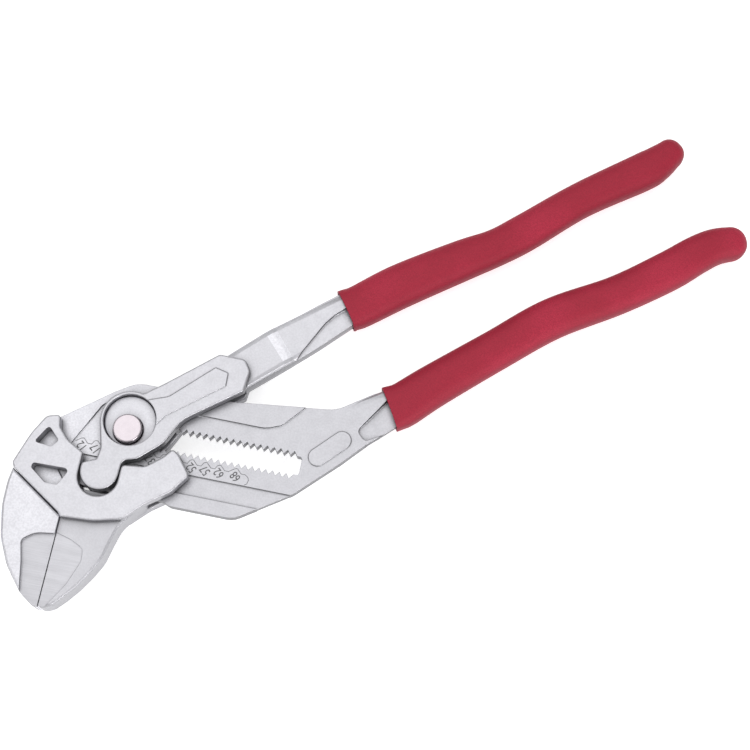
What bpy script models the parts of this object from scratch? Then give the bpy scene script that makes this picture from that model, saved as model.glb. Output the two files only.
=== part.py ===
"""Pliers wrench with parallel smooth jaws, a toothed slot and a push button lock.

The tool lies flat on its rear side. X runs along the slot, the way the sliding jaw travels, Y across it
towards the handles' side, and Z up through the thickness. The origin is on the lever's pivot axis, on
the plane that the tool rests on. Lengths are in metres.
"""
import math

import bmesh
import bpy
from mathutils import Vector

# Driving sizes of the whole tool
HEAD_SPAN = 0.100          # the length that the outline tables are shares of
PLATE = 0.0046             # thickness of one lever plate or one jaw cheek
FLANGE = 0.0058            # thickness of the slotted arm between the plates
RUN_GAP = 0.0003           # clearance between pieces that slide, turn or touch
OVERRUN = 0.002            # how far a cutter runs past what it cuts
WELD = 0.000003            # points closer than this are one point

# Toothed slot
PITCH = 0.0025             # one step of the jaw setting
TIP_HALF = 0.0034          # from the slot's centreline to the tips of the teeth
TOOTH_DEPTH = 0.0017
SLOT_ROUND = 0.0022
SLOT_ZONE_DROP = 0.0007    # how far the toothed zone lies below the flange on each face
SLOT_Y_SHARE = -0.033      # the slot's centreline, below the pivot axis
SLOT_RIGHT_SHARE = 0.632

# Guide channel of the arm and the jaw's keys
CHANNEL_WIDTH = 0.0073
CHANNEL_DEPTH = 0.0007
CHANNEL_TOP_SHARE = -0.144
CHANNEL_LEFT_SHARE = -0.350
ARM_BOTTOM_SHARE = -0.269  # the arm's lowest edge, which the jaw's bridge passes under
KEY_SHARES = {"left": (-0.335, -0.150), "right": (0.085, 0.195)}

# Jaws
JAW_FACE_SHARE = -0.162    # where the two gripping faces meet
FIXED_JAW_DROP = 0.0012    # how far the fixed jaw's broad faces lie inside the plates' faces
NOSE_DROP = 0.0024         # the same for the sliding jaw's nose
FACET_DROP = 0.0028        # the same for the ground facets at the tips
JAW_RIM_SHARE = 0.009      # rounding of the jaws' outer edges
CHEEK_RIM_SHARE = 0.006    # the same for the sliding jaw's cheeks and the lever's plates

# Lever
BOSS_WALL = 0.0012         # least steel round the bore
LOBE_RADIUS_SHARE = 0.070
LOBE_GAP = 0.00028         # side clearance of the lobe in its notch
LOBE_SINK = 0.0020         # free room under the lobe when the jaws are shut
LOBE_X_SHARE = -0.062
LOBE_Y_SHARE = -0.202
THROAT_SHARE = 0.204       # floor of the fork's throat
PANEL_RISE = 0.0004
PANEL_RIM = 0.0003
ARM_POCKET_DEPTH = 0.0011
LEVER_POCKET_DEPTH = 0.0017
FORGED_FILLET = 0.0004     # rounding where the floor of a sunk zone meets its wall

# Joint bolt, rear disc and rivets
DISC_SINK = 0.0023         # how far the front disc lies below the lever's face
DISC_RIM = 0.0003
LUG_STEP = 0.0018          # how far the discs stand out past the ends of the bolt's bar
COLLAR_TEETH = 3           # on each side of the collar
COLLAR_THICKNESS = 0.0016
BUTTON_TRAVEL = 0.0022
BUTTON_WALL = 0.00045      # least steel between the button and the front disc's edge
BUTTON_RISE = 0.0008       # how far the button stands above the lever's face
BUTTON_ROUND = 0.0006
ROUND_STEPS = 3
STEM_WALL = 0.0006         # steel between the button's stem and the sides of the bolt's bar
SPIGOT_STEP = 0.0003
SPIGOT_WALL = 0.0004
SPRING_WIRE = 0.00020      # radius of the spring's wire
SPRING_TURNS = 10
SPRING_STEPS = 8           # points in a turn
RIVET_RADIUS = 0.0008
RIVET_HEAD = 0.0013
RIVET_WALL = 0.000125      # least steel beside a rivet's head
RIVET_SINK = 0.0009        # height of the rivets' sunk heads
RIVET_DEPTH = 0.0036       # how far a rivet reaches into the bolt's bar

# Handles
GRIP_WALL = 0.0009
GRIP_HALF_THICKNESS = 0.0062
LEVER_TANG_HALF = 0.0042   # half thickness of the lever's bare tang
ARM_TANG_HALF = 0.0035     # half thickness of the arm's bare tang at the grip
TANG_STOP = 0.0120         # from the grip's far end back to the end of the steel

# Places in the outlines' plane
SLOT_Y = HEAD_SPAN * SLOT_Y_SHARE
SLOT_RIGHT = HEAD_SPAN * SLOT_RIGHT_SHARE
CHANNEL_TOP = HEAD_SPAN * CHANNEL_TOP_SHARE
CHANNEL_BOTTOM = CHANNEL_TOP - CHANNEL_WIDTH
BRIDGE_TOP = HEAD_SPAN * ARM_BOTTOM_SHARE - RUN_GAP
FIXED_FACE = HEAD_SPAN * JAW_FACE_SHARE - RUN_GAP / 2
NOSE_FACE = FIXED_FACE + RUN_GAP
JAW_RIM = HEAD_SPAN * JAW_RIM_SHARE
CHEEK_RIM = HEAD_SPAN * CHEEK_RIM_SHARE
LOBE_RADIUS = HEAD_SPAN * LOBE_RADIUS_SHARE
LOBE_X = HEAD_SPAN * LOBE_X_SHARE
LOBE_Y = HEAD_SPAN * LOBE_Y_SHARE
COLLAR_REACH = PITCH * COLLAR_TEETH / 2
RIVET_X = COLLAR_REACH + RUN_GAP + RIVET_WALL + RIVET_HEAD + RUN_GAP
LUG_REACH = RIVET_X + RIVET_HEAD + RUN_GAP + RIVET_WALL
SLOT_LEFT = -LUG_REACH - RUN_GAP

# Radii that follow one another
DISC_RADIUS = LUG_REACH + LUG_STEP
BORE_RADIUS = DISC_RADIUS + RUN_GAP
BOSS_RADIUS = BORE_RADIUS + BOSS_WALL
BUTTON_RADIUS = DISC_RADIUS + SLOT_Y - RUN_GAP - BUTTON_WALL
LUG_HALF = TIP_HALF - RUN_GAP
STEM_RADIUS = LUG_HALF - STEM_WALL - RUN_GAP
SPIGOT_RADIUS = STEM_RADIUS - SPIGOT_STEP
SPRING_BORE = SPIGOT_RADIUS - SPIGOT_WALL

# Heights, worked out from the thicknesses
FLANGE_LOW = PLATE + RUN_GAP
FLANGE_HIGH = FLANGE_LOW + FLANGE
FRONT_LOW = FLANGE_HIGH + RUN_GAP
FRONT_HIGH = FRONT_LOW + PLATE
MIDDLE = FRONT_HIGH / 2
ZONE_HIGH = FLANGE_HIGH - SLOT_ZONE_DROP
ZONE_LOW = FLANGE_LOW + SLOT_ZONE_DROP
DISC_TOP = FRONT_HIGH - DISC_SINK
BUTTON_TOP = FRONT_HIGH + BUTTON_RISE
COLLAR_LOW = ZONE_LOW + RUN_GAP
COLLAR_TOP = COLLAR_LOW + COLLAR_THICKNESS
BOSS_LOW = COLLAR_TOP + RUN_GAP
CAP_SEAT = ZONE_HIGH - RUN_GAP
CAP_LOW = ZONE_HIGH + RUN_GAP + BUTTON_TRAVEL
POCKET_FLOOR = COLLAR_LOW - BUTTON_TRAVEL - 2 * RUN_GAP
GRIP_INSET = GRIP_WALL + RUN_GAP

# Outlines: x, y and corner radius of each point, as shares of HEAD_SPAN
ARM_SHARES = (
    (-0.270, -0.040, 0.020), (-0.089, 0.100, 0.060), (-0.012, 0.151, 0.120), (0.340, 0.149, 0.300),
    (0.610, 0.184, 0.080), (0.715, 0.197, 0.120), (0.855, 0.296, 0.050), (0.900, 0.275, 0.010),
    (0.925, 0.180, 0.010), (0.770, 0.006, 0.060), (0.626, -0.139, 0.120),
)
ARM_LOW_SHARES = (0.435, 0.080)           # right end of the lowest edge and its rounding
NECK_SHARES = ((0.205, -0.269, 0.025), (0.175, -0.256, 0.020))
ARM_INNER_SHARES = (
    (-0.190, -0.600, 0.020), (-0.300, -0.500, 0.060), (-0.362, -0.330, 0.100), (-0.352, -0.180, 0.100),
    (-0.322, -0.108, 0.060),
)
FIXED_JAW_SHARES = (
    (-0.180, -0.715, 0.020), (-0.232, -0.680, 0.080), (-0.303, -0.594, 0.120), (-0.350, -0.500, 0.150),
    (-0.375, -0.385, 0.200), (-0.377, -0.300, 0.200), (-0.370, -0.2495, 0.000),
)
SHOULDER_SHARE = -0.384    # height on the gripping face where the fixed jaw reaches its full thickness
ZONE_SHARES = (
    (-0.235, -0.200, 0.010), (-0.1925, -0.107, 0.008), (-0.120, 0.043, 0.040), (-0.085, 0.078, 0.020),
    (0.478, 0.078, 0.080), (0.535, 0.100, 0.050), (0.602, 0.180, 0.010), (0.640, 0.260, 0.010),
    (1.000, 0.420, 0.010), (1.000, -0.100, 0.010), (0.500, -0.330, 0.010), (-0.130, -0.330, 0.010),
)
PAD_SHARES = ((0.685, 0.012), (0.759, 0.090))
PAD_RADIUS_SHARE = 0.034
ARM_POCKET_SHARES = (
    (0.804, 0.136, 0.020), (0.905, 0.292, 0.000), (0.990, 0.240, 0.000), (0.955, 0.173, 0.000),
    (0.840, 0.103, 0.018),
)

CHEEK_LEFT_SHARES = (
    (-0.364, -0.252, 0.000), (-0.374, -0.232, 0.010), (-0.336, -0.118, 0.200), (-0.296, -0.043, 0.030),
    (-0.248, -0.030, 0.012), (-0.238, -0.075, 0.020), (-0.200, -0.115, 0.050),
)
NOTCH_LEFT_SHARES = (-0.150, 0.008)       # height and rounding of the notch's left corner
NOTCH_RIGHT_SHARES = (-0.166, 0.015)
CHEEK_RIGHT_SHARES = (
    (0.095, -0.155, 0.040), (0.150, -0.108, 0.050), (0.177, -0.073, 0.012), (0.202, -0.090, 0.020),
    (0.255, -0.156, 0.012), (0.206, -0.228, 0.060), (0.128, -0.286, 0.080), (0.058, -0.358, 0.060),
    (-0.040, -0.384, 0.200), (-0.156, -0.392, 0.008), (-0.171, -0.3755, 0.000),
)
UPPER_WINDOW_SHARES = (
    (-0.316, -0.146, 0.008), (-0.277, -0.078, 0.010), (-0.230, -0.124, 0.010), (-0.251, -0.152, 0.008),
)
LOWER_WINDOW_SHARES = (
    (-0.302, -0.221, 0.010), (-0.165, -0.218, 0.012), (-0.196, -0.283, 0.010), (-0.242, -0.283, 0.012),
    (-0.302, -0.240, 0.008),
)
NOSE_SHARES = (
    (-0.140, -0.714, 0.024), (-0.115, -0.702, 0.030), (-0.083, -0.668, 0.080), (-0.047, -0.623, 0.120),
    (-0.010, -0.565, 0.150), (0.019, -0.508, 0.120), (0.034, -0.440, 0.150), (0.050, -0.380, 0.100),
    (0.098, -0.315, 0.050), (0.122, -0.290, 0.012),
)
FIXED_FACET_SHARES = (
    (-0.140, -0.450, 0.005), (-0.165, -0.452, 0.010), (-0.232, -0.462, 0.080), (-0.276, -0.495, 0.020),
    (-0.256, -0.570, 0.100), (-0.233, -0.690, 0.060), (-0.215, -0.740, 0.010), (-0.140, -0.740, 0.005),
)
NOSE_FACET_SHARES = (
    (-0.185, -0.443, 0.005), (-0.160, -0.446, 0.010), (-0.105, -0.460, 0.060), (-0.055, -0.484, 0.020),
    (-0.050, -0.530, 0.030), (-0.083, -0.620, 0.120), (-0.130, -0.698, 0.060), (-0.150, -0.740, 0.010),
    (-0.185, -0.740, 0.005),
)

LEVER_UPPER_SHARES = (
    (0.096, 0.161, 0.060), (0.262, 0.304, 0.010), (0.358, 0.303, 0.025),
    (0.384, 0.264, 0.030), (0.377, 0.186, 0.008), (0.185, 0.037, 0.120), (0.140, -0.060, 0.100),
    (0.060, -0.136, 0.050),
)
LOBE_ARC = (0, -195)          # degrees, run clockwise like the outline
BOSS_ARC = (197, 76)
NOTCH_ARC = (180, 360)
LEVER_NECK_SHARES = ((0.010, -0.150, 0.025),)
LEVER_SIDE_SHARES = ((-0.104, -0.171, 0.012), (-0.083, -0.163, 0.010), (-0.078, -0.120, 0.030))
ROOT_SHARES = ((0.264, 0.302, 0.005), (0.356, 0.301, 0.024), (0.382, 0.264, 0.028))
ROOT_END_SHARES = (0.378, 0.160)          # right and left ends of the throat's floor
PANEL_SHARES = (
    (0.034, 0.079, 0.005), (0.118, 0.111, 0.050), (0.259, 0.251, 0.006), (0.309, 0.240, 0.006),
    (0.311, 0.190, 0.006), (0.128, 0.043, 0.060), (0.088, -0.010, 0.005),
)
LEVER_POCKET_SHARES = (
    (0.530, 0.340, 0.000), (0.549, 0.388, 0.020), (0.608, 0.507, 0.150), (0.637, 0.546, 0.050),
    (0.682, 0.588, 0.000), (0.735, 0.500, 0.000), (0.640, 0.370, 0.000),
)

# Handles: x, y and half width as shares of HEAD_SPAN, half thickness as a share of the grip's or tang's
# own, and how square the section is
LEVER_ROOT_SHARES = (
    (0.318, 0.248, 0.074, 1.00, 6.0), (0.450, 0.374, 0.077, 1.00, 6.0), (0.480, 0.401, 0.077, 0.86, 6.0),
    (0.560, 0.472, 0.073, 0.86, 5.0),
)
LEVER_GRIP_SHARES = (
    (0.672, 0.578, 0.079, 0.90, 3.0), (0.720, 0.609, 0.080, 0.95, 2.6), (0.852, 0.717, 0.082, 1.00, 2.6),
    (1.051, 0.857, 0.076, 1.00, 2.6), (1.173, 0.932, 0.068, 0.97, 2.6), (1.268, 1.018, 0.070, 0.97, 2.6),
    (1.447, 1.184, 0.066, 1.00, 2.6), (1.655, 1.342, 0.071, 1.00, 2.6), (1.712, 1.388, 0.066, 0.98, 2.6),
    (1.7455, 1.4345, 0.056, 0.94, 2.6),
)
ARM_ROOT_SHARES = (
    (0.700, 0.070, 0.070, 0.50, 6.0), (0.7875, 0.148, 0.0835, 0.60, 6.0),
)
ARM_GRIP_SHARES = (
    (0.903, 0.242, 0.084, 0.78, 3.5), (0.950, 0.272, 0.082, 0.85, 3.0), (1.042, 0.362, 0.079, 0.96, 2.6),
    (1.238, 0.539, 0.075, 1.00, 2.6), (1.423, 0.702, 0.076, 1.00, 2.6), (1.642, 0.840, 0.072, 1.00, 2.6),
    (1.810, 0.968, 0.074, 1.00, 2.6), (1.906, 1.054, 0.071, 1.00, 2.6), (1.968, 1.100, 0.067, 0.98, 2.6),
    (2.025, 1.123, 0.063, 0.96, 2.6),
)

CHORD_SAG = 0.00004        # how far a rounded corner's facets may lie inside its arc
WIDEST_STEP = math.radians(30)
STRAIGHT = math.radians(2)
RIM_STEPS = 2
DISC_SIDES = 48
HOLE_SIDES = 24
GRIP_DETAIL = (24, 4)      # points round a section and sections between two rows of a handle's table
CORE_DETAIL = (16, 2)      # the same for the steel inside a grip and the room for it
DOME_STEPS = 5


def clear_scene():
    for found in list(bpy.data.objects):
        bpy.data.objects.remove(found, do_unlink=True)


def new_collection(name):
    made = bpy.data.collections.new(name)
    bpy.context.scene.collection.children.link(made)
    return made


def new_material(name, colour, roughness, metallic):
    made = bpy.data.materials.new(name)
    made.use_nodes = True
    shader = made.node_tree.nodes["Principled BSDF"]
    shader.inputs["Base Color"].default_value = (*colour, 1.0)
    shader.inputs["Roughness"].default_value = roughness
    shader.inputs["Metallic"].default_value = metallic
    return made


def scaled(rows):
    """Outline rows written as shares, turned into metres."""
    return [tuple(HEAD_SPAN * value for value in row) for row in rows]


def arc_points(corner, before, after, radius):
    """The points of the fillet that rounds one corner of an outline."""
    to_before = before - corner
    to_after = after - corner
    turn = math.pi - to_before.angle(to_after)
    if turn < STRAIGHT or radius <= 0:
        return [corner]
    reach = radius * math.tan(turn / 2)
    limit = min(to_before.length, to_after.length) / 2
    reach = min(reach, limit)
    start = corner + to_before.normalized() * reach
    end = corner + to_after.normalized() * reach
    radius = reach / math.tan(turn / 2)
    bisector = (to_before.normalized() + to_after.normalized()).normalized()
    centre = corner + bisector * (radius / math.cos(turn / 2))
    step = min(WIDEST_STEP, 2 * math.acos(max(0.5, 1 - CHORD_SAG / radius)))
    count = max(1, math.ceil(turn / step))
    spoke_start = start - centre
    spoke_end = end - centre
    side = 1 if spoke_start.cross(spoke_end) > 0 else -1
    points = []
    for index in range(count + 1):
        angle = side * turn * index / count
        cosine, sine = math.cos(angle), math.sin(angle)
        points.append(centre + Vector((
            spoke_start.x * cosine - spoke_start.y * sine,
            spoke_start.x * sine + spoke_start.y * cosine,
        )))
    return points


def rounded(rows):
    """A closed outline through rows of x, y and corner radius, with each corner rounded."""
    corners = [Vector(row[:2]) for row in rows]
    points = []
    for index, corner in enumerate(corners):
        before = corners[index - 1]
        after = corners[(index + 1) % len(corners)]
        points.extend(arc_points(corner, before, after, rows[index][2]))
    kept = []
    for point in points:
        if not kept or (point - kept[-1]).length > WELD:
            kept.append(point)
    if (kept[0] - kept[-1]).length < WELD:
        kept.pop()
    return kept


def arc_rows(x, y, radius, start, end):
    """Outline rows along a true arc between two angles in degrees."""
    step = 2 * math.acos(1 - CHORD_SAG / radius)
    sweep = math.radians(end - start)
    count = math.ceil(abs(sweep) / step)
    rows = []
    for index in range(count + 1):
        angle = math.radians(start) + sweep * index / count
        rows.append((x + radius * math.cos(angle), y + radius * math.sin(angle), 0.0))
    return rows


def circle(x, y, radius, sides):
    """The points of a circle as a closed outline."""
    angles = [math.tau * step / sides for step in range(sides)]
    return [Vector((x + radius * math.cos(angle), y + radius * math.sin(angle))) for angle in angles]


def new_object(name, mesh, home):
    made = bpy.data.objects.new(name, mesh)
    home.objects.link(made)
    if home is cutters:
        made.hide_render = True
        made.display_type = "WIRE"
    return made


def add_line(curve, places, closed):
    """One run of straight stretches in a curve."""
    spline = curve.splines.new("POLY")
    spline.points.add(len(places) - 1)
    for target, place in zip(spline.points, places):
        target.co = (*place, 1)
    spline.use_cyclic_u = closed


def solid_of(curve):
    """The closed mesh that a curve makes, and the same mesh open for editing."""
    source = bpy.data.objects.new(curve.name, curve)
    bpy.context.scene.collection.objects.link(source)
    view = bpy.context.evaluated_depsgraph_get()
    mesh = bpy.data.meshes.new_from_object(source.evaluated_get(view))
    bpy.data.objects.remove(source, do_unlink=True)
    bpy.data.curves.remove(curve)
    shape = bmesh.new()
    shape.from_mesh(mesh)
    bmesh.ops.remove_doubles(shape, verts=shape.verts, dist=WELD)
    return mesh, shape


def rim_edges(shape, height, sharp_x):
    """The edges round one broad face, without those that lie on a plane that stays sharp."""
    level = [edge for edge in shape.edges if max(abs(vert.co.z - height) for vert in edge.verts) < WELD]
    if sharp_x is None:
        return level
    return [edge for edge in level if max(abs(vert.co.x - sharp_x) for vert in edge.verts) > WELD]


def prism(name, points, low, high, home, rims=(0.0, 0.0), sharp_x=None, hole=()):
    """A flat outline, with a hole if one is given, made thick and its low and high rims rounded off."""
    curve = bpy.data.curves.new(name, "CURVE")
    curve.dimensions = "2D"
    curve.fill_mode = "BOTH"
    curve.extrude = (high - low) / 2
    for line in filter(None, (points, hole)):
        add_line(curve, [(point.x, point.y, 0) for point in line], True)
    mesh, shape = solid_of(curve)
    bmesh.ops.dissolve_limit(shape, angle_limit=math.radians(1), verts=shape.verts, edges=shape.edges)
    bmesh.ops.translate(shape, verts=shape.verts, vec=(0, 0, (low + high) / 2))
    for rim, height in zip(rims, (low, high)):
        if rim:
            edges = rim_edges(shape, height, sharp_x)
            bmesh.ops.bevel(shape, geom=edges, offset=rim, segments=RIM_STEPS, profile=0.5, affect="EDGES")
    bmesh.ops.recalc_face_normals(shape, faces=shape.faces)
    shape.to_mesh(mesh)
    shape.free()
    mesh.name = name
    return new_object(name, mesh, home)


def disc(name, x, y, radius, low, high, home, sides=HOLE_SIDES, rims=(0.0, 0.0)):
    return prism(name, circle(x, y, radius, sides), low, high, home, rims)


def combine(target, operand, operation):
    """Adds, removes or keeps the operand's volume on the target."""
    step = target.modifiers.new(operation.title() + "_" + operand.name, "BOOLEAN")
    step.operation = operation
    step.solver = "EXACT"
    step.object = operand


def join(target, operand):
    combine(target, operand, "UNION")


def cut(target, operand):
    combine(target, operand, "DIFFERENCE")


def both_faces(name, points, drop, target, fillet=0.0):
    """Sinks the same outline into the front and the rear of a piece, down from the lever's two faces."""
    high = FRONT_HIGH + OVERRUN
    cut(target, prism(name + "_front", points, FRONT_HIGH - drop, high, cutters, (fillet, 0.0)))
    cut(target, prism(name + "_rear", points, -OVERRUN, drop, cutters, (0.0, fillet)))


def smooth_rows(rows, detail):
    """Rows joined by a smooth curve that passes through each of them."""
    result = []
    steps = detail[1]
    for index in range(len(rows) - 1):
        first = rows[max(index - 1, 0)]
        last = rows[min(index + 2, len(rows) - 1)]
        for step in range(steps):
            share = step / steps
            result.append(tuple(
                blend_value(first[axis], rows[index][axis], rows[index + 1][axis], last[axis], share)
                for axis in range(len(first))
            ))
    result.append(tuple(rows[-1]))
    return result


def blend_value(before, start, end, after, share):
    """One value of a curve that passes evenly through its points."""
    slope_in = (end - before) / 2
    slope_out = (after - start) / 2
    square = share * share
    cube = square * share
    return (
        (2 * cube - 3 * square + 1) * start + (cube - 2 * square + share) * slope_in
        + (3 * square - 2 * cube) * end + (cube - square) * slope_out
    )


def handle_section(row, heading, sides, inset):
    """One rounded section across a handle, square to its heading."""
    x, y, half_width, half_thickness, squareness = row
    half_width -= inset
    half_thickness -= inset
    across = Vector((-heading.y, heading.x, 0))
    points = []
    for step in range(sides):
        angle = math.tau * step / sides
        cosine, sine = math.cos(angle), math.sin(angle)
        width = math.copysign(abs(cosine) ** (2 / squareness), cosine) * half_width
        height = math.copysign(abs(sine) ** (2 / squareness), sine) * half_thickness
        points.append(Vector((x, y, MIDDLE)) + across * width + Vector((0, 0, height)))
    return points


def headings(rows):
    """The direction of a handle at each of its rows."""
    result = []
    for index in range(len(rows)):
        before = rows[max(index - 1, 0)]
        after = rows[min(index + 1, len(rows) - 1)]
        result.append(Vector((after[0] - before[0], after[1] - before[1], 0)).normalized())
    return result


def dome_rows(row, heading, length, inset):
    """The rows that round off the far end of a handle."""
    x, y, half_width, half_thickness, squareness = row
    result = []
    for step in range(1, DOME_STEPS):
        angle = math.pi / 2 * step / DOME_STEPS
        reach = length * math.sin(angle)
        size = math.cos(angle)
        result.append((
            x + heading.x * reach,
            y + heading.y * reach,
            (half_width - inset) * size + inset,
            (half_thickness - inset) * size + inset,
            squareness,
        ))
    return result


def loft(name, rows, detail, home, inset=0.0, dome=0.0):
    """A closed handle body through its rows, with flat ends or a domed far end."""
    sides = detail[0]
    directions = headings(rows)
    if dome:
        extra = dome_rows(rows[-1], directions[-1], dome, inset)
        rows = rows + extra
        directions = directions + [directions[-1]] * len(extra)
    shape = bmesh.new()
    rings = []
    for row, heading in zip(rows, directions):
        section = handle_section(row, heading, sides, inset)
        rings.append([shape.verts.new(point) for point in section])
    return skinned(name, shape, rings, home)


def skinned(name, shape, rings, home):
    """A closed body through rings of points that have the same count."""
    for ring, following in zip(rings, rings[1:]):
        for side, corner in enumerate(ring):
            after = (side + 1) % len(ring)
            shape.faces.new((corner, ring[after], following[after], following[side]))
    shape.faces.new(rings[0])
    shape.faces.new(rings[-1])
    bmesh.ops.recalc_face_normals(shape, faces=shape.faces)
    mesh = bpy.data.meshes.new(name)
    shape.to_mesh(mesh)
    shape.free()
    return new_object(name, mesh, home)


def handle_rows(table, half_thickness):
    """Handle rows in metres, with the fourth column as a share of a half thickness."""
    return [
        (HEAD_SPAN * x, HEAD_SPAN * y, HEAD_SPAN * half_width, half_thickness * share, squareness)
        for x, y, half_width, share, squareness in table
    ]


def inset_rows(rows, inset):
    """The same handle, thinner all round."""
    return [
        (x, y, half_width - inset, half_thickness - inset, squareness)
        for x, y, half_width, half_thickness, squareness in rows
    ]


def slot_outline():
    """The toothed slot: V grooves at every pitch along both sides, and rounded ends."""
    first = math.ceil((SLOT_LEFT + PITCH) / PITCH)
    last = math.floor((SLOT_RIGHT - PITCH) / PITCH)
    tip = SLOT_Y + TIP_HALF
    upper = [(first * PITCH - PITCH / 2, tip, 0.0)]
    for index in range(first, last + 1):
        root = index * PITCH
        upper.append((root, tip + TOOTH_DEPTH, 0.0))
        upper.append((root + PITCH / 2, tip, 0.0))
    lower = [(x, 2 * SLOT_Y - y, 0.0) for x, y, _ in upper]
    low_tip = SLOT_Y - TIP_HALF
    right_end = [(SLOT_RIGHT, tip, SLOT_ROUND), (SLOT_RIGHT, low_tip, SLOT_ROUND)]
    left_end = [(SLOT_LEFT, low_tip, SLOT_ROUND), (SLOT_LEFT, tip, SLOT_ROUND)]
    return rounded(upper + right_end + lower[::-1] + left_end)


def channel_outline(left, right, clearance=0.0):
    """The straight guide channel, or a key that runs in it."""
    top = CHANNEL_TOP - clearance
    bottom = CHANNEL_BOTTOM + clearance
    return [Vector((left, top)), Vector((right, top)), Vector((right, bottom)), Vector((left, bottom))]


def fixed_jaw_outline():
    """The thick fixed jaw, from the shoulder on its gripping face round to its back."""
    rows = scaled(FIXED_JAW_SHARES)
    face = [(FIXED_FACE, HEAD_SPAN * SHOULDER_SHARE, 0.0), (FIXED_FACE, rows[0][1], 0.0)]
    return rounded(face + rows)


def arm_outline():
    """The flat blank of the slotted arm: head, neck and body."""
    neck = scaled(NECK_SHARES)
    right, softness = scaled([ARM_LOW_SHARES])[0]
    low = [(right, neck[0][1], softness)] + neck
    face = [(FIXED_FACE, neck[-1][1], 0.0), (FIXED_FACE, HEAD_SPAN * SHOULDER_SHARE, 0.0)]
    return rounded(scaled(ARM_SHARES) + low + face + scaled(ARM_INNER_SHARES))


def pad_outline():
    """The raised pad on the arm, a bar with two round ends."""
    start = HEAD_SPAN * Vector(PAD_SHARES[0])
    end = HEAD_SPAN * Vector(PAD_SHARES[1])
    radius = HEAD_SPAN * PAD_RADIUS_SHARE
    along = (end - start).normalized() * radius
    across = Vector((-along.y, along.x))
    corners = (start - along + across, end + along + across, end + along - across, start - along - across)
    return rounded([(corner.x, corner.y, radius) for corner in corners])


def make_slotted_arm():
    arm = prism("slotted_arm", arm_outline(), FLANGE_LOW, FLANGE_HIGH, parts)
    zone = rounded(scaled(ZONE_SHARES))
    both_faces("slot_zone", zone, FRONT_HIGH - ZONE_HIGH, arm, FORGED_FILLET)
    grip_rows = inset_rows(handle_rows(ARM_GRIP_SHARES, GRIP_HALF_THICKNESS), GRIP_INSET)
    rows = smooth_rows(handle_rows(ARM_ROOT_SHARES, ARM_TANG_HALF) + grip_rows, CORE_DETAIL)
    join(arm, loft("arm_tang", stop_short(rows), CORE_DETAIL, cutters))
    jaw = prism(
        "fixed_jaw_block", fixed_jaw_outline(), FIXED_JAW_DROP, FRONT_HIGH - FIXED_JAW_DROP, cutters,
        (JAW_RIM, JAW_RIM), FIXED_FACE,
    )
    join(arm, jaw)
    rims = (0.0, PANEL_RIM)
    join(arm, prism("arm_pad", pad_outline(), ZONE_HIGH - OVERRUN, ZONE_HIGH + PANEL_RISE, cutters, rims))
    cut(arm, prism("toothed_slot", slot_outline(), -OVERRUN, FRONT_HIGH, cutters))
    channel = channel_outline(HEAD_SPAN * CHANNEL_LEFT_SHARE, HEAD_SPAN)
    both_faces("guide_channel", channel, FRONT_HIGH - ZONE_HIGH + CHANNEL_DEPTH, arm)
    both_faces("fixed_facet", rounded(scaled(FIXED_FACET_SHARES)), FACET_DROP, arm)
    pocket = rounded(scaled(ARM_POCKET_SHARES))
    both_faces("arm_pocket", pocket, FRONT_HIGH - ZONE_HIGH + ARM_POCKET_DEPTH, arm, FORGED_FILLET)
    return arm


def stop_short(rows):
    """The steel inside a grip, which ends before the grip does."""
    end = Vector(rows[-1][:2])
    reaches = [(Vector(row[:2]) - end).length for row in rows]
    count = sum(reach > TANG_STOP + GRIP_WALL for reach in reaches)
    share = (reaches[count - 1] - TANG_STOP) / (reaches[count - 1] - reaches[count])
    last = tuple(value + (after - value) * share for value, after in zip(rows[count - 1], rows[count]))
    return rows[:count] + [last]


def lever_outline():
    """One lever plate: boss round the bore, cam lobe and the strap to the fork's root."""
    boss = arc_rows(0, 0, BOSS_RADIUS, *BOSS_ARC)
    lobe = arc_rows(LOBE_X, LOBE_Y, LOBE_RADIUS, *LOBE_ARC)
    return rounded(
        scaled(LEVER_UPPER_SHARES) + scaled(LEVER_NECK_SHARES) + lobe + scaled(LEVER_SIDE_SHARES) + boss,
    )


def root_outline():
    """The solid root that joins the two lever plates behind the throat."""
    floor = [(x, HEAD_SPAN * THROAT_SHARE, 0.0) for x in scaled([ROOT_END_SHARES])[0]]
    return rounded(scaled(ROOT_SHARES) + floor)


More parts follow.
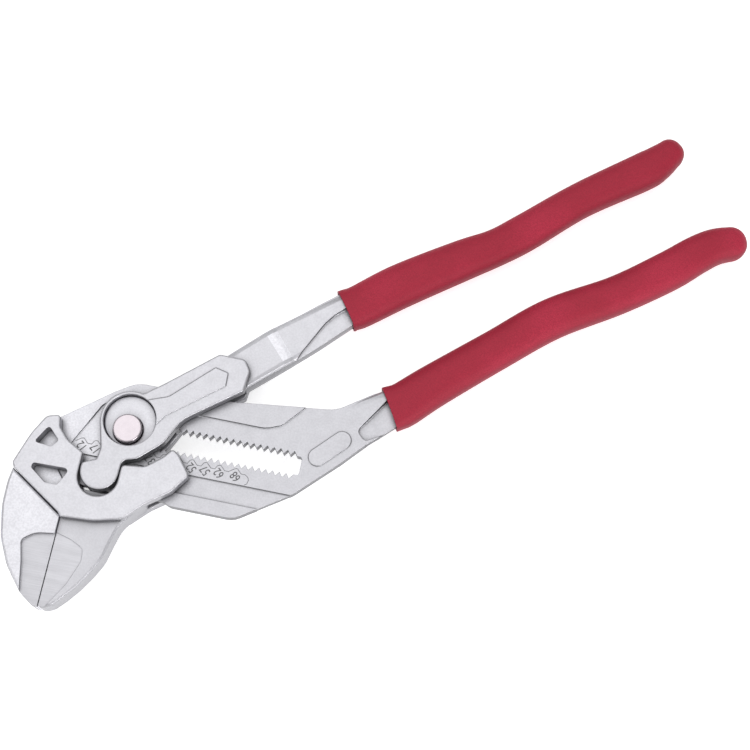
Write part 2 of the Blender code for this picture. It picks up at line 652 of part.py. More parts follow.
def make_lever_arm():
    plate = lever_outline()
    rims = (CHEEK_RIM, CHEEK_RIM)
    lever = prism("lever_arm", plate, FRONT_LOW, FRONT_HIGH, parts, rims)
    join(lever, prism("lever_rear_plate", plate, 0, PLATE, cutters, rims))
    join(lever, prism("fork_root", root_outline(), CHEEK_RIM, FRONT_HIGH - CHEEK_RIM, cutters))
    grip_rows = inset_rows(handle_rows(LEVER_GRIP_SHARES, GRIP_HALF_THICKNESS), GRIP_INSET)
    rows = smooth_rows(handle_rows(LEVER_ROOT_SHARES, LEVER_TANG_HALF) + grip_rows, CORE_DETAIL)
    tang = loft("lever_tang", stop_short(rows), CORE_DETAIL, cutters)
    floor = HEAD_SPAN * THROAT_SHARE
    throat = [Vector((-HEAD_SPAN, -HEAD_SPAN)), Vector((HEAD_SPAN, -HEAD_SPAN)), Vector((HEAD_SPAN, floor)),
              Vector((-HEAD_SPAN, floor))]
    join(lever, tang)
    cut(lever, prism("throat", throat, PLATE, FRONT_LOW, cutters))
    panel = prism(
        "panel", rounded(scaled(PANEL_SHARES)), FRONT_HIGH - OVERRUN, FRONT_HIGH + PANEL_RISE, cutters,
        (0.0, PANEL_RIM),
    )
    join(lever, panel)
    cut(lever, disc("lever_bore", 0, 0, BORE_RADIUS, -OVERRUN, FRONT_HIGH + OVERRUN, cutters, DISC_SIDES))
    pocket = rounded(scaled(LEVER_POCKET_SHARES))
    depth = MIDDLE - LEVER_TANG_HALF + LEVER_POCKET_DEPTH
    both_faces("lever_pocket", pocket, depth, lever, FORGED_FILLET)
    return lever


def notch_rows(left_corner, right_corner, grow=0.0):
    """The notch that the lever's lobe works in, between two corners given as height and rounding."""
    half = LOBE_RADIUS + LOBE_GAP + grow
    floor = arc_rows(LOBE_X, LOBE_Y - LOBE_SINK, half, *NOTCH_ARC)
    return [(LOBE_X - half, *left_corner)] + floor + [(LOBE_X + half, *right_corner)]


def cheek_outline():
    """One cheek of the sliding jaw."""
    corners = scaled((NOTCH_LEFT_SHARES, NOTCH_RIGHT_SHARES))
    return rounded(scaled(CHEEK_LEFT_SHARES) + notch_rows(*corners) + scaled(CHEEK_RIGHT_SHARES))


def nose_outline():
    """The sliding jaw's nose and the bridge that joins its cheeks under the neck."""
    rows = scaled(NOSE_SHARES)
    start = [(NOSE_FACE, BRIDGE_TOP, 0.0), (NOSE_FACE, rows[0][1], 0.0)]
    return rounded(start + rows + [(rows[-1][0], BRIDGE_TOP, 0.0)])


def add_keys(jaw):
    """The four low keys that run in the arm's guide channels."""
    front_low = ZONE_HIGH - CHANNEL_DEPTH + RUN_GAP
    rear_high = ZONE_LOW + CHANNEL_DEPTH - RUN_GAP
    for name, ends in KEY_SHARES.items():
        outline = channel_outline(*scaled([ends])[0], RUN_GAP)
        join(jaw, prism(name + "_front_key", outline, front_low, FRONT_LOW + OVERRUN, cutters))
        join(jaw, prism(name + "_rear_key", outline, PLATE - OVERRUN, rear_high, cutters))


def make_sliding_jaw():
    cheek = cheek_outline()
    rims = (CHEEK_RIM, CHEEK_RIM)
    jaw = prism("sliding_jaw", cheek, FRONT_LOW, FRONT_HIGH, parts, rims)
    join(jaw, prism("rear_cheek", cheek, 0, PLATE, cutters, rims))
    add_keys(jaw)
    nose = prism(
        "jaw_nose", nose_outline(), NOSE_DROP, FRONT_HIGH - NOSE_DROP, cutters,
        (JAW_RIM, JAW_RIM), NOSE_FACE,
    )
    room = rounded(notch_rows((LOBE_Y, 0.0), (LOBE_Y, 0.0), RUN_GAP))
    both_faces("lobe_room", room, FRONT_HIGH - FLANGE_HIGH, nose)
    join(jaw, nose)
    for name, table in (("upper", UPPER_WINDOW_SHARES), ("lower", LOWER_WINDOW_SHARES)):
        window = prism(name + "_window", rounded(scaled(table)), -OVERRUN, FRONT_HIGH + OVERRUN, cutters)
        cut(jaw, window)
    both_faces("nose_facet", rounded(scaled(NOSE_FACET_SHARES)), FACET_DROP, jaw)
    return jaw


def lug_outline():
    """A round-cornered bar that runs free between the tips of the slot's teeth."""
    low, high = SLOT_Y - LUG_HALF, SLOT_Y + LUG_HALF
    corners = ((-LUG_REACH, low), (LUG_REACH, low), (LUG_REACH, high), (-LUG_REACH, high))
    return rounded([(x, y, SLOT_ROUND) for x, y in corners])


def make_joint_bolt():
    rims = (DISC_RIM, DISC_RIM)
    bolt = disc("joint_bolt", 0, 0, DISC_RADIUS, FRONT_LOW, DISC_TOP, parts, DISC_SIDES, rims)
    join(bolt, prism("bolt_lugs", lug_outline(), FLANGE_LOW, FRONT_LOW + RUN_GAP, cutters))
    clear = COLLAR_REACH + RUN_GAP
    corners = ((-clear, -HEAD_SPAN), (clear, -HEAD_SPAN), (clear, HEAD_SPAN), (-clear, HEAD_SPAN))
    room = [Vector(corner) for corner in corners]
    cut(bolt, prism("collar_room", room, 0, BOSS_LOW, cutters))
    cap_room = BUTTON_RADIUS + RUN_GAP
    cut(bolt, disc("cap_room", 0, SLOT_Y, cap_room, CAP_SEAT, FRONT_HIGH, cutters, DISC_SIDES))
    cut(bolt, disc("stem_room", 0, SLOT_Y, STEM_RADIUS + RUN_GAP, 0, FRONT_HIGH, cutters))
    for side in (-1, 1):
        seat = disc(
            "rivet_seat_%d" % (side + 1), side * RIVET_X, SLOT_Y, RIVET_RADIUS + RUN_GAP, 0,
            PLATE + RIVET_DEPTH + RUN_GAP, cutters,
        )
        cut(bolt, seat)
    return bolt


def collar_outline():
    """The toothed collar that meshes with both sides of the slot."""
    tip = LUG_HALF
    upper = [(-COLLAR_REACH, SLOT_Y + tip, 0.0)]
    for index in range(COLLAR_TEETH):
        root = (index - (COLLAR_TEETH - 1) / 2) * PITCH
        upper.append((root, SLOT_Y + tip + TOOTH_DEPTH, 0.0))
        upper.append((root + PITCH / 2, SLOT_Y + tip, 0.0))
    lower = [(x, 2 * SLOT_Y - y, 0.0) for x, y, _ in upper]
    return rounded(upper + lower[::-1])


def make_rear_disc():
    rims = (DISC_RIM, DISC_RIM)
    rear = disc("rear_disc", 0, 0, DISC_RADIUS, 0, PLATE, parts, DISC_SIDES, rims)
    half = TIP_HALF + TOOTH_DEPTH + RUN_GAP
    reach = COLLAR_REACH + RUN_GAP
    corners = ((-reach, -half), (reach, -half), (reach, half), (-reach, half))
    room = rounded([(x, SLOT_Y + y, RUN_GAP) for x, y in corners])
    cut(rear, prism("collar_pocket", room, POCKET_FLOOR, FRONT_HIGH, cutters))
    for side in (-1, 1):
        name = "rear_hole_%d" % (side + 1)
        cut(rear, rivet_shape(name, side * RIVET_X, RUN_GAP, -OVERRUN, FRONT_HIGH, cutters))
    return rear


def rivet_shape(name, x, clearance, low, high, home):
    """A countersunk rivet, or the hole that takes it."""
    shape = bmesh.new()
    levels = (
        (low, RIVET_HEAD + clearance),
        (0.0, RIVET_HEAD + clearance),
        (RIVET_SINK, RIVET_RADIUS + clearance),
        (high, RIVET_RADIUS + clearance),
    )
    if low >= 0:
        levels = ((low, RIVET_HEAD + clearance),) + levels[2:]
    rings = []
    for height, radius in levels:
        ring = circle(x, SLOT_Y, radius, HOLE_SIDES)
        rings.append([shape.verts.new((point.x, point.y, height)) for point in ring])
    return skinned(name, shape, rings, home)


def make_rivet(name, side):
    return rivet_shape(name, side * RIVET_X, 0.0, RUN_GAP, PLATE + RIVET_DEPTH, parts)


def turned(name, profile, x, y, home):
    """A turned piece from a profile of radius and height, run down its outer side."""
    mesh = bpy.data.meshes.new(name)
    points = [(radius, 0, height) for radius, height in profile]
    edges = [(index, index + 1) for index in range(len(points) - 1)]
    mesh.from_pydata(points, edges, [])
    made = new_object(name, mesh, home)
    made.location = (x, y, 0)
    screw = made.modifiers.new("Turn", "SCREW")
    screw.axis = "Z"
    screw.angle = math.tau
    screw.steps = DISC_SIDES
    screw.render_steps = DISC_SIDES
    screw.use_merge_vertices = True
    screw.merge_threshold = WELD
    return made


def make_push_button():
    crown = BUTTON_TOP - BUTTON_ROUND
    profile = [(0.0, BUTTON_TOP)]
    for step in range(ROUND_STEPS + 1):
        angle = math.pi / 2 * step / ROUND_STEPS
        profile.append((
            BUTTON_RADIUS - BUTTON_ROUND + BUTTON_ROUND * math.sin(angle),
            crown + BUTTON_ROUND * math.cos(angle),
        ))
    profile += [
        (BUTTON_RADIUS, CAP_LOW),
        (STEM_RADIUS, CAP_LOW),
        (STEM_RADIUS, COLLAR_TOP),
        (SPIGOT_RADIUS, COLLAR_TOP),
        (SPIGOT_RADIUS, COLLAR_LOW),
        (SPRING_BORE, COLLAR_LOW),
        (SPRING_BORE, CAP_LOW),
        (0.0, CAP_LOW),
    ]
    return turned("push_button", profile, 0, SLOT_Y, parts)


def make_lock_collar():
    hole = circle(0, SLOT_Y, SPIGOT_RADIUS + RUN_GAP, HOLE_SIDES)
    return prism("lock_collar", collar_outline(), COLLAR_LOW, COLLAR_TOP - RUN_GAP, parts, hole=hole)


def make_spring():
    """The coil spring between the rear disc's pocket and the blind end of the button's bore."""
    low = POCKET_FLOOR + RUN_GAP + SPRING_WIRE
    high = CAP_LOW - RUN_GAP - SPRING_WIRE
    radius = SPRING_BORE - RUN_GAP - SPRING_WIRE
    curve = bpy.data.curves.new("button_spring", "CURVE")
    curve.dimensions = "3D"
    curve.bevel_depth = SPRING_WIRE
    curve.bevel_resolution = 1
    curve.use_fill_caps = True
    count = SPRING_TURNS * SPRING_STEPS
    places = []
    for index in range(count + 1):
        angle = math.tau * index / SPRING_STEPS
        height = low + (high - low) * index / count
        places.append((radius * math.cos(angle), SLOT_Y + radius * math.sin(angle), height))
    add_line(curve, places, False)
    mesh, shape = solid_of(curve)
    bmesh.ops.recalc_face_normals(shape, faces=shape.faces)
    shape.to_mesh(mesh)
    shape.free()
    return new_object("button_spring", mesh, parts)


def moved_row(row, heading, reach):
    """A handle row moved along its heading."""
    return (row[0] + heading.x * reach, row[1] + heading.y * reach) + row[2:]


def make_grip(name, table):
    """A dipped sleeve: the handle's outer body with the room for the steel cut out from its mouth."""
    rows = handle_rows(table, GRIP_HALF_THICKNESS)
    grip = loft(name, smooth_rows(rows, GRIP_DETAIL), GRIP_DETAIL, parts, 0.0, rows[-1][2])
    rows = smooth_rows(rows, CORE_DETAIL)
    room = stop_short(rows)
    mouth = moved_row(room[0], headings(rows)[0], -OVERRUN)
    tip = moved_row(room[-1], headings(room)[-1], RUN_GAP)
    cut(grip, loft(name + "_room", [mouth] + room + [tip], CORE_DETAIL, cutters, GRIP_WALL))
    return grip


def finish(piece, material):
    """Gives a piece its material and smooth shading with crisp edges."""
    data = piece.data
    data.materials.clear()
    data.materials.append(material)
    if piece.type == "MESH":
        data.shade_smooth()
        data.set_sharp_from_angle(angle=math.radians(35))


clear_scene()
parts = new_collection("pliers_wrench")
cutters = new_collection("cutters")
satin_steel = new_material("satin_steel", (0.72, 0.72, 0.74), 0.42, 1.0)
polished_steel = new_material("polished_steel", (0.80, 0.76, 0.77), 0.18, 1.0)
spring_steel = new_material("spring_steel", (0.45, 0.45, 0.47), 0.35, 1.0)
red_coating = new_material("red_coating", (0.45, 0.04, 0.08), 0.55, 0.0)

finish(make_slotted_arm(), satin_steel)
finish(make_lever_arm(), satin_steel)
finish(make_sliding_jaw(), satin_steel)
finish(make_joint_bolt(), satin_steel)
finish(make_rear_disc(), satin_steel)
finish(make_rivet("left_rivet", -1), satin_steel)
finish(make_rivet("right_rivet", 1), satin_steel)
finish(make_push_button(), polished_steel)
finish(make_lock_collar(), spring_steel)
finish(make_spring(), spring_steel)
finish(make_grip("upper_grip", LEVER_GRIP_SHARES), red_coating)
finish(make_grip("lower_grip", ARM_GRIP_SHARES), red_coating)
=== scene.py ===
# %% [markdown]
# # A pliers wrench, dressed for the camera
# The solids of this tool were made beforehand: forged jaws, two plates of the lever, a toothed slot, a
# push button and two dipped handles. This lesson keeps their places and gives each one the surface it
# has on the real tool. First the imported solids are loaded, because every later piece is placed by them.

# %% Load the solids and note their box
import math

import bmesh
import bpy
from mathutils import Matrix, Vector


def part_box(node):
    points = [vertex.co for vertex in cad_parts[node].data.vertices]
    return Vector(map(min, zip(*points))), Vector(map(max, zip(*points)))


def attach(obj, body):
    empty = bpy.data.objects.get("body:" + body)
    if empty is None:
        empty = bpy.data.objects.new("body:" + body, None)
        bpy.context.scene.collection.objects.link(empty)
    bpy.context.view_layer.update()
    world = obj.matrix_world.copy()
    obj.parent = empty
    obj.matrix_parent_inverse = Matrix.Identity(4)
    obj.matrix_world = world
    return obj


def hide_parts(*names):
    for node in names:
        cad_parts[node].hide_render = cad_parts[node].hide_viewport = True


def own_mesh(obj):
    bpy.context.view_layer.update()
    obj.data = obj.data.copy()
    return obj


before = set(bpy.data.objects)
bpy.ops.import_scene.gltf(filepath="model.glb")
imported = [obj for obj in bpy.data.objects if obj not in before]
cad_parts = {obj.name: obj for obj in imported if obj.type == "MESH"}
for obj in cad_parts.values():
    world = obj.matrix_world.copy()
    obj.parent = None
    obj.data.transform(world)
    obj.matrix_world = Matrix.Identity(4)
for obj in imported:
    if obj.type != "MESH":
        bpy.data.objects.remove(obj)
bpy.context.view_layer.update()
MM = 0.001
print("solids:", sorted(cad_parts))

# %% [markdown]
# ## A short way to write nodes
# Materials and repeated shapes are both node trees. Wiring them one call at a time hides the idea, so a
# small class wraps a socket and lets ordinary sums add Math nodes. Any other node comes from one method
# that takes its type, its settings and what its sockets hold.

# %% The wrapped socket
class Wire:
    """An output socket. Sums and comparisons on it add Math nodes to its tree."""

    def __init__(self, board, socket):
        self.board = board
        self.socket = socket

    def __add__(self, other):
        return self.board.sum("ADD", self, other)

    def __sub__(self, other):
        return self.board.sum("SUBTRACT", self, other)

    def __rsub__(self, other):
        return self.board.sum("SUBTRACT", other, self)

    def __mul__(self, other):
        return self.board.sum("MULTIPLY", self, other)

    def __truediv__(self, other):
        return self.board.sum("DIVIDE", self, other)

    def __rtruediv__(self, other):
        return self.board.sum("DIVIDE", other, self)

    def __pow__(self, other):
        return self.board.sum("POWER", self, other)

    def __abs__(self):
        return self.board.sum("ABSOLUTE", self)

    def __lt__(self, other):
        return self.board.sum("LESS_THAN", self, other)

    def __gt__(self, other):
        return self.board.sum("GREATER_THAN", self, other)

    __radd__ = __add__
    __rmul__ = __mul__


print("a wire understands + - * / ** < > and abs")

# %% [markdown]
# The board is the tree that the wires run on. Apart from the two ends of a tree, every node is added and
# set by its method node, so each later line says what a node is for and not how it is wired. The shorter
# methods below it cover what this tool's materials and shapes ask for again and again: a soft step, one
# colour over another, three numbers as a place, and several shapes as one.

# %% The board that wires run on
class Board:
    """A node tree, with one method that adds a node and shorter ones that call it."""

    def __init__(self, tree):
        self.tree = tree

    def node(self, kind, settings=None, sockets=None, output=0):
        made = self.tree.nodes.new(kind)
        for name, value in (settings or {}).items():
            setattr(made, name, value)
        self.fill(made, sockets or {})
        return Wire(self, made.outputs[output])

    def fill(self, made, sockets):
        """Links each wire to its socket, and sets every other socket to its plain value."""
        for name, value in sockets.items():
            if isinstance(value, Wire):
                self.tree.links.new(value.socket, made.inputs[name])
            else:
                made.inputs[name].default_value = value

    def sum(self, operation, *values):
        return self.node("ShaderNodeMath", {"operation": operation}, dict(enumerate(values)))

    def vector(self, operation, *values, output=0):
        settings = {"operation": operation}
        return self.node("ShaderNodeVectorMath", settings, dict(enumerate(values)), output)

    def scaled(self, vector, size):
        return self.node("ShaderNodeVectorMath", {"operation": "SCALE"}, {0: vector, "Scale": size})

    def parts(self, vector):
        split = self.node("ShaderNodeSeparateXYZ", None, {0: vector})
        return [Wire(self, socket) for socket in split.socket.node.outputs]

    def point(self, *parts):
        return self.node("ShaderNodeCombineXYZ", None, dict(enumerate(parts)))

    def join(self, *shapes):
        """Several shapes as one. They share a single socket, so each adds its link to it."""
        joined = self.node("GeometryNodeJoinGeometry")
        for shape in shapes:
            self.fill(joined.socket.node, {0: shape})
        return joined

    def between(self, value, low, high):
        """0 below low, 1 above high and a soft step in the middle."""
        settings = {"interpolation_type": "SMOOTHSTEP"}
        return self.node("ShaderNodeMapRange", settings, {0: value, 1: low, 2: high})

    def tint(self, share, first, second):
        """One colour turning into another as share goes from 0 to 1."""
        return self.node("ShaderNodeMix", {"data_type": "RGBA"}, {0: share, 6: first, 7: second}, 2)

    def stained_and_shaded(self, colour, *overlays):
        """Lays marks over a colour in turn, real stains and painted shade alike. Each says where it lies,
        how strong it is and its tone.
        """
        for mask, strength, tone in overlays:
            colour = self.tint(mask * strength, colour, tone)
        return colour


print("board ready")

# %% [markdown]
# ## Shapes that repeat or follow a path
# Springs, numerals and coated handles follow a rule, so each is a Geometry Nodes tree with named
# inputs. A helper puts a tree on an object, fills in its inputs, takes the finished mesh and drops the
# modifier again, because a plain mesh is what rides on a body.

# %% Open and close a tree
def new_tree(name, inputs):
    """An empty geometry tree with one geometry output, and its input wires by name."""
    tree = bpy.data.node_groups.new(name, "GeometryNodeTree")
    for title, kind in inputs.items():
        tree.interface.new_socket(title, in_out="INPUT", socket_type="NodeSocket" + kind)
    tree.interface.new_socket("Geometry", in_out="OUTPUT", socket_type="NodeSocketGeometry")
    board = Board(tree)
    source = tree.nodes.new("NodeGroupInput")
    wires = {title: Wire(board, source.outputs[title]) for title in inputs}
    return board, wires


def close_tree(board, geometry, material):
    """Every tree ends in Realize Instances and Set Material."""
    real = board.node("GeometryNodeRealizeInstances", None, {0: geometry})
    dressed = board.node("GeometryNodeSetMaterial", None, {"Geometry": real, "Material": material})
    end = board.tree.nodes.new("NodeGroupOutput")
    board.fill(end, {0: dressed})
    return board.tree


print("a tree opens with named inputs and closes with its material")

# %% [markdown]
# A tree needs a mesh to start from and an object to run on. The path of a handle and the stepped line
# of the scale are chains of points, which can carry named values, and a swept or joined mesh has its
# doubles merged and its faces turned outwards before anything gives it a wall.

# %% Grow a mesh with a tree
DOUBLES = 0.002 * MM


def grow(name, tree, values, start=None):
    """Runs a tree once and keeps its mesh as a plain object."""
    holder = bpy.data.objects.new(name, start or bpy.data.meshes.new(name))
    bpy.context.scene.collection.objects.link(holder)
    step = holder.modifiers.new("grow", "NODES")
    step.node_group = tree
    for item in tree.interface.items_tree:
        if item.in_out == "INPUT" and item.name in values:
            step[item.identifier] = values[item.name]
    view = bpy.context.evaluated_depsgraph_get()
    mesh = bpy.data.meshes.new_from_object(holder.evaluated_get(view))
    holder.modifiers.remove(step)
    holder.data = mesh
    mesh.name = name
    print(name, len(mesh.vertices), "points")
    return holder


def line_mesh(name, places, values=None):
    """A chain of points joined by edges, with any number of named values on its points."""
    mesh = bpy.data.meshes.new(name)
    mesh.from_pydata(places, [(index, index + 1) for index in range(len(places) - 1)], [])
    for title, numbers in (values or {}).items():
        mesh.attributes.new(title, "FLOAT", "POINT").data.foreach_set("value", numbers)
    return mesh


def outward(piece):
    """Merges doubles and turns every face of a closed shape outwards."""
    shape = bmesh.new()
    shape.from_mesh(piece.data)
    bmesh.ops.remove_doubles(shape, verts=shape.verts, dist=DOUBLES)
    bmesh.ops.recalc_face_normals(shape, faces=shape.faces)
    shape.to_mesh(piece.data)
    shape.free()
    return piece


print("doubles closer than", DOUBLES / MM, "mm are merged")

# %% [markdown]
# ## Blasted steel
# The forgings are blasted after machining, which leaves a light grey satin skin with a grain of a tenth
# or two of a millimetre. Side walls get painted shade that keeps them darker than the broad faces, every
# edge is rubbed bright and also carries a painted highlight, and corners, recesses and cracks get painted
# shade. The grain and the mottling come from noise, the painted wall shade from the direction that the
# surface faces, the painted shade in corners and cracks from how much a place is sheltered, and the
# bright edges from comparing the surface with a rounded copy of itself. Each of these questions is a
# helper, because every steel asks it.

# %% Questions that a material asks
EDGE_SAMPLES = 10
SHELTER_SAMPLES = 6


def new_material(name):
    """A new material, the board of its tree, its shader and the place on the piece."""
    made = bpy.data.materials.new(name)
    made.use_nodes = True
    board = Board(made.node_tree)
    shader = made.node_tree.nodes["Principled BSDF"]
    place = board.node("ShaderNodeTexCoord", output=3)
    return made, board, shader, place


def noise(board, place, scale, detail=2.0, rough=0.5):
    """Cloudy noise. Scale is how often it changes in a metre."""
    sockets = {"Vector": place, "Scale": scale, "Detail": detail, "Roughness": rough}
    return board.node("ShaderNodeTexNoise", None, sockets)


def stretched(board, place, rates):
    """The same place with each axis counted at its own rate, which draws a pattern out into lines."""
    return board.node("ShaderNodeMapping", None, {"Vector": place, "Scale": rates})


def lean_of(board):
    """1 where the surface faces straight up, 0 on an upright wall and -1 where it faces down."""
    return board.parts(board.node("ShaderNodeNewGeometry", output=1))[2]


def worn_and_highlit_edges(board, radius):
    """1 where a rounded copy of the surface leans away from it, which marks rubbed edges with a painted
    highlight, and that copy's direction.
    """
    soft = board.node("ShaderNodeBevel", {"samples": EDGE_SAMPLES}, {"Radius": radius})
    flat = board.node("ShaderNodeNewGeometry", output=1)
    alike = board.vector("DOT_PRODUCT", soft, flat, output=1)
    return board.between(1 - alike, 0.01, 0.16), soft


def shelter(board, reach, least, most):
    """1 where surfaces within reach leave less than least of the view open, 0 where more than most."""
    settings = {"samples": SHELTER_SAMPLES}
    view = board.node("ShaderNodeAmbientOcclusion", settings, {"Distance": reach}, 1)
    return 1 - board.between(view, least, most)


def distance(x, y, centre):
    """How far a place is from an upright line through centre."""
    return ((x - centre[0]) ** 2 + (y - centre[1]) ** 2) ** 0.5


def turned_rings(board, place, centre, rate):
    """Fine rings round a centre, as a lathe leaves them."""
    x, y, _ = board.parts(place)
    return noise(board, board.point(distance(x, y, centre) * rate, 0.0, 0.0), 1.0, 3.0)


def bumped(board, height, soft=None):
    """The direction of the surface once a relief, in metres, lies on it."""
    sockets = {"Strength": 1.0, "Distance": 1.0, "Height": height}
    if soft is not None:
        sockets["Normal"] = soft
    return board.node("ShaderNodeBump", None, sockets)


def grey(value):
    """A steel grey with its faint blue cast."""
    return (value, value * 0.995, value * 1.05, 1.0)


print("a steel grey of 0.5 is", grey(0.5)[:3])

# %% [markdown]
# Some stretches of the forgings differ from the rest. The head of the arm is lighter than its tail, the
# faces that grip are ground bright, and the nose between the cheeks lies lower and gets painted shade. On
# the lever a painted highlight lies as a bright band on the slope across the strap, and the wall of its
# bore is painted lighter than its outer walls, as if lit. Each is found by its place on the tool, and for
# the band by the slope too, so no piece has to be cut up.

# %% Stretches that differ
arm_low, arm_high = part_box("slotted_arm")
MIDDLE = (arm_low.z + arm_high.z) / 2
FLAT = 0.9
HEAD_FADE = (-26 * MM, 14 * MM)
# The head's wall grey is painted shade, lighter than on the tail.
HEAD_WALL_SHADE = 0.38
# The band grey is a painted highlight on the strap's slope, and the bore wall grey is painted light.
BAND_X = 46.5 * MM
BAND_REACH = 7 * MM
BAND_SLOPES = (0.976, 0.9955)
BORED_OUT = 10.2 * MM
LIT_BORE_WALL = 0.62
GRIP_FACE_X = -16.2 * MM
GRIP_FACE_REACH = 0.8 * MM
GRIP_FACE = 0.85
# The nose's face grey and the grey of its sheltered strip are painted shade.
NOSE_REACH = 5.6 * MM
NOSE_TOP = -28 * MM
NOSE_SHADED_FACE = 0.57
NOSE_SHADE = 0.14
NOSE_SHADE_REACH = 6 * MM


def lighter_head(board, place, skin, sides, head):
    """The tones of faces and of the painted wall shade, lighter on the head and fading out behind the
    joint.
    """
    body = board.between(board.parts(place)[0], *HEAD_FADE)
    return board.tint(body, grey(head), skin), board.tint(body, grey(HEAD_WALL_SHADE), sides)


def painted_strap_and_bore_light(board, place, lean, skin, sides, band):
    """The tones of faces and walls, with a painted highlight band on the strap's slope and the bore wall
    painted lighter, as if lit.
    """
    x, y, _ = board.parts(place)
    near = abs(x - BAND_X) < BAND_REACH
    sloped = (lean > BAND_SLOPES[0]) * (lean < BAND_SLOPES[1])
    bored = distance(x, y, (0.0, 0.0)) < BORED_OUT
    return board.tint(sloped * near, skin, grey(band)), board.tint(bored, sides, grey(LIT_BORE_WALL))


def ground_jaw(board, place, lean, skin, sides):
    """The tones of faces and walls, with painted shade on the nose and the bright gripping face."""
    x, y, z = board.parts(place)
    nose = (abs(z - MIDDLE) < NOSE_REACH) * (y < NOSE_TOP) * (abs(lean) > FLAT)
    skin = board.stained_and_shaded(
        skin,
        # Painted shade: the whole nose a little darker, and darker still in shelter near the cheeks.
        (nose, 1.0, grey(NOSE_SHADED_FACE)),
        (shelter(board, NOSE_SHADE_REACH, 0.62, 0.97) * nose, 0.50, grey(NOSE_SHADE)),
    )
    return skin, board.tint(abs(x - GRIP_FACE_X) < GRIP_FACE_REACH, sides, grey(GRIP_FACE))


print("the middle plane of the tool is", round(MIDDLE / MM, 2), "mm up")

# %% [markdown]
# The outer faces of both jaw tips are ground flat on a belt. That leaves long scratches across the jaws
# and a grey a little duller than the blasted skin. The scratches are noise that changes quickly in one
# direction and slowly in the others, kept to the two levels that the ground faces lie on.

# %% Ground tips
TIP_LEVELS = (12.8 * MM, 2.8 * MM)
TIP_SLACK = 0.12 * MM
TIP_LINE = -42 * MM
SCRATCHES = (90, 2600, 90)
WAVES = (20, 330, 20)
TIP_GREYS = (0.45, 0.60)


def ground_tips(board, place, lean):
    """Where the tips are ground, the scratches there and the grey that they leave."""
    _, y, z = board.parts(place)
    top, bottom = [abs(z - level) < TIP_SLACK for level in TIP_LEVELS]
    tip = (top + bottom) * (y < TIP_LINE) * (abs(lean) > FLAT)
    lines = noise(board, stretched(board, place, SCRATCHES), 1.0, 4.0, 0.65)
    waves = noise(board, stretched(board, place, WAVES), 1.0, 1.0)
    dull, bright = [grey(tone) for tone in TIP_GREYS]
    return tip, lines, board.tint(board.between(lines * 0.6 + waves * 0.4, 0.30, 0.70), dull, bright)


print("ground faces lie at", [round(level / MM, 1) for level in TIP_LEVELS], "mm")

# %% [markdown]
# Now the steel itself. The tone of the broad faces and the painted shade of the walls come first, then
# the
# marks are laid over them in turn: the mottling, the specks, painted soft shade in the corners, painted
# shade in the cracks and the rubbed edges with their painted highlight. A bump made from the grain lets
# the lamp break up a little, as it does on real blasted steel.

# %% Blasted steel
GRAIN = 5200
SPECK = 1500
MOTTLE = 260
GRAIN_RELIEF = 0.010 * MM
TIP_RELIEF = 0.012 * MM
RING_RELIEF = 0.008 * MM
DISC_RINGS = 5200
SHADE_REACH = 3.5 * MM
CRACK_REACH = 0.7 * MM
# The next two greys are painted shade, in corners and in cracks.
SHADE = 0.12
CRACK_SHADE = 0.08
# The grey of edges that are rubbed bright and carry a painted highlight.
RUBBED_AND_HIGHLIT = 0.90
METAL = 0.92


def blasted_steel(name, face, wall, roughness, edge_width, ground=False, centre=None, head=None, band=None):
    """Satin steel: the greys of its faces and of the painted shade on its walls, and how wide its rubbed,
    painted-highlit edges are, in millimetres. Ground tips, turned rings round a centre, a lighter head
    and a painted highlight band come where asked for."""
    made, board, shader, place = new_material(name)
    edge, soft = worn_and_highlit_edges(board, edge_width * MM)
    lean = lean_of(board)
    broad = board.between(abs(lean), 0.35, 0.80)
    level = board.between(abs(lean), 0.88, 0.99)
    grain = noise(board, place, GRAIN, 2.0)
    speck = noise(board, place, SPECK, 2.0)
    mottle = noise(board, place, MOTTLE, 3.0)
    skin, sides = grey(face), grey(wall)
    if head is not None:
        skin, sides = lighter_head(board, place, skin, sides, head)
    if band is not None:
        skin, sides = painted_strap_and_bore_light(board, place, lean, skin, sides, band)
    if ground:
        skin, sides = ground_jaw(board, place, lean, skin, sides)
    colour = board.stained_and_shaded(
        # The wall grey is painted shade, blended in where the surface faces sideways.
        board.tint(broad, sides, skin),
        (mottle, 0.16, grey(face * 0.72)),
        (board.between(speck, 0.35, 0.65), 0.24, grey(face * 0.66)),
        # Painted shade in corners and recesses.
        (shelter(board, SHADE_REACH, 0.40, 0.95) * level, 0.58, grey(SHADE)),
        # Painted shade in cracks and narrow gaps between parts.
        (shelter(board, CRACK_REACH, 0.45, 0.98) * level, 0.62, grey(CRACK_SHADE)),
        # Edges rubbed bright, with a painted highlight laid over them.
        (edge * broad, 0.25, grey(RUBBED_AND_HIGHLIT)),
    )
    rough = roughness + (mottle - 0.5) * 0.10 + (grain - 0.5) * 0.06 - edge * 0.08
    relief = grain * GRAIN_RELIEF
    if ground:
        tip, lines, worn_grey = ground_tips(board, place, lean)
        colour = board.tint(tip * 0.85, colour, worn_grey)
        rough = rough + tip * (lines * 0.16 - 0.10)
        relief = relief + tip * lines * TIP_RELIEF
    if centre is not None:
        rings = turned_rings(board, place, centre, DISC_RINGS)
        relief = relief + rings * RING_RELIEF
        rough = rough + (rings - 0.5) * 0.10
    board.fill(shader, {
        "Base Color": colour,
        "Roughness": rough,
        "Metallic": METAL,
        "Normal": bumped(board, relief, soft),
    })
    return made


print("blasted steel ready, with a grain of", round(1000 / GRAIN, 2), "mm")

# %% [markdown]
# One recipe serves all the steel pieces, because they are one steel in different states. The arm's walls
# carry nearly black painted shade and the jaw's a paler one, the discs are turned instead of blasted, and
# the collar inside the lock is milled and darker.

